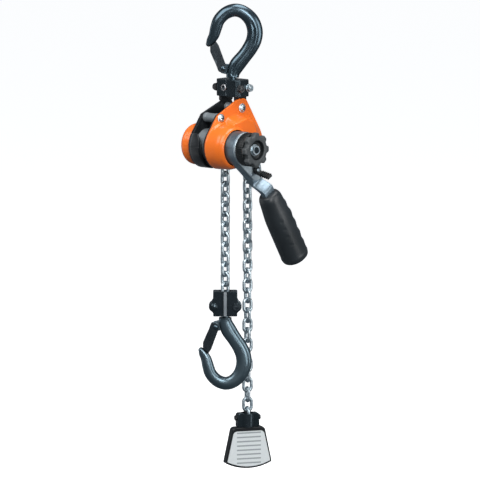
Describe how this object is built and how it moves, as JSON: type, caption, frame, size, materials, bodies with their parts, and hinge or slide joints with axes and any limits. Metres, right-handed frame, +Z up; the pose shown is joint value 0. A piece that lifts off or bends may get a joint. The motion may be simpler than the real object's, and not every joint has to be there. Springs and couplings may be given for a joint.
{
  "type": "lever chain hoist",
  "caption": "Hand lever chain hoist with a link chain, ratchet lever with rubber grip, star hand wheel, two latched hooks and an end tag.",
  "frame": {"origin": "seat in the bowl of the top hook, where the hoist hangs", "axes": "+Z up along the hook's line; the drive shaft and sheave shaft lie along Y, with the lever and hand wheel on the -Y side; the load chain hangs on the -X side of the sheave and the slack chain on the +X side"},
  "size_m": [0.1193, 0.1083, 0.5605],
  "materials": {
    "black": "semi-gloss black paint",
    "hook_black": "satin blue-black oxide over a forged surface",
    "orange": "glossy orange powder coat",
    "zinc": "bright zinc plate",
    "blue_steel": "blue-grey zinc plated steel",
    "steel": "plain machined steel",
    "bronze": "sintered bronze",
    "lining": "friction lining",
    "rubber": "satin black rubber",
    "knob": "dark grey moulded nylon",
    "black_plastic": "black moulded nylon",
    "label": "satin metal plate with blank printed bars"
  },
  "bodies": {
    "hoist_body": {"top_block_rear": "black", "top_block_front": "black", "top_block_bolts": "zinc", "frame_rear": "black", "frame_front": "black", "frame_spacers": "zinc", "shaft_hub": "blue_steel", "front_cover": "orange", "cover_screws": "zinc", "rear_cover": "orange", "rear_cover_screws": "zinc", "drive_bushes": "bronze", "sheave_bushes": "bronze", "chain_guide": "steel", "chain_stripper": "steel", "brake_pawl_pin": "steel", "brake_pawl_spring": "steel"},
    "top_hook": {"top_hook": "hook_black", "top_hook_collar": "steel", "top_latch_pin": "steel", "top_latch_spring": "steel"},
    "top_latch": {"top_latch": "hook_black"},
    "sheave": {"load_sheave": "steel", "load_gear": "steel", "sheave_chain": "zinc"},
    "drive": {"drive_shaft": "steel", "pinion": "steel", "brake_hub": "steel", "brake_linings": "lining", "brake_ratchet_disc": "steel", "pressure_nut": "steel", "lever_ratchet_wheel": "steel", "hand_wheel_cup": "black_plastic", "hand_wheel": "knob", "hand_wheel_nut": "zinc"},
    "brake_pawl": {"brake_pawl": "steel"},
    "lever": {"lever_arm": "blue_steel", "lever_cover": "zinc", "lever_cover_rivets": "zinc", "lever_grip": "rubber", "detent_spring": "steel"},
    "selector": {"selector": "black_plastic", "drive_pawl": "steel", "selector_pin": "zinc"},
    "load_fall": {"load_chain": "zinc", "lower_block_front": "black", "lower_block_rear": "black", "lower_block_bolts": "black", "lower_chain_pin": "steel"},
    "lower_hook": {"lower_hook": "hook_black", "lower_hook_collar": "steel", "lower_latch_pin": "steel", "lower_latch_spring": "steel"},
    "lower_latch": {"lower_latch": "hook_black"},
    "slack_fall": {"slack_chain": "zinc", "end_clamp": "black", "end_bolt": "black", "end_tag": "black", "tag_label": "label"}
  },
  "joints": [
    {"name": "top_hook_swivel", "type": "hinge", "parent": "hoist_body", "child": "top_hook", "pos_m": [0, 0, -0.084], "axis": [0, 0, 1], "continuous": true},
    {"name": "top_latch_hinge", "type": "hinge", "parent": "top_hook", "child": "top_latch", "pos_m": [-0.00784, 0.00841, -0.061], "axis": [0.7314, 0.682, 0], "range_deg": [0, 32], "stiffness_Nm_per_rad": 0.02, "springref_deg": -17.19},
    {"name": "hook_travel", "type": "slide", "parent": "hoist_body", "child": "load_fall", "axis": [0, 0, 1], "range_m": [-0.024, 0.024], "deforming": ["load_chain"]},
    {"name": "slack_travel", "type": "slide", "parent": "hoist_body", "child": "slack_fall", "axis": [0, 0, 1], "range_m": [-0.0241, 0.0241], "deforming": ["slack_chain"]},
    {"name": "sheave_spin", "type": "hinge", "parent": "hoist_body", "child": "sheave", "pos_m": [0.00642, 0, -0.15], "axis": [0, 1, 0], "range_deg": [-72.1, 72.1], "deforming": ["sheave_chain"]},
    {"name": "drive_spin", "type": "hinge", "parent": "hoist_body", "child": "drive", "pos_m": [-0.03558, 0, -0.15], "axis": [0, 1, 0], "range_deg": [-106, 106]},
    {"name": "brake_pawl_lift", "type": "hinge", "parent": "hoist_body", "child": "brake_pawl", "pos_m": [-0.00158, -0.024, -0.135], "axis": [0, 1, 0], "range_deg": [0, 14], "stiffness_Nm_per_rad": 0.01, "springref_deg": -17.19},
    {"name": "lever_swing", "type": "hinge", "parent": "hoist_body", "child": "lever", "pos_m": [-0.03558, -0.045, -0.15], "axis": [0, 1, 0], "continuous": true},
    {"name": "selector_turn", "type": "hinge", "parent": "lever", "child": "selector", "pos_m": [-0.02022, -0.05, -0.17577], "axis": [0, 1, 0], "range_deg": [-14, 14]},
    {"name": "lower_hook_swivel", "type": "hinge", "parent": "load_fall", "child": "lower_hook", "pos_m": [-0.013, 0, -0.35], "axis": [0, 0, 1], "continuous": true},
    {"name": "lower_latch_hinge", "type": "hinge", "parent": "lower_hook", "child": "lower_latch", "pos_m": [-0.02084, 0.00841, -0.369], "axis": [0.7314, 0.682, 0], "range_deg": [-32, 0], "stiffness_Nm_per_rad": 0.02, "springref_deg": 17.19}
  ],
  "couplings": [
    {"joint": "slack_travel", "follows": "hook_travel", "ratio": -1},
    {"joint": "sheave_spin", "follows": "hook_travel", "rad_per_m": 52.36},
    {"joint": "drive_spin", "follows": "hook_travel", "rad_per_m": -77}
  ]
}
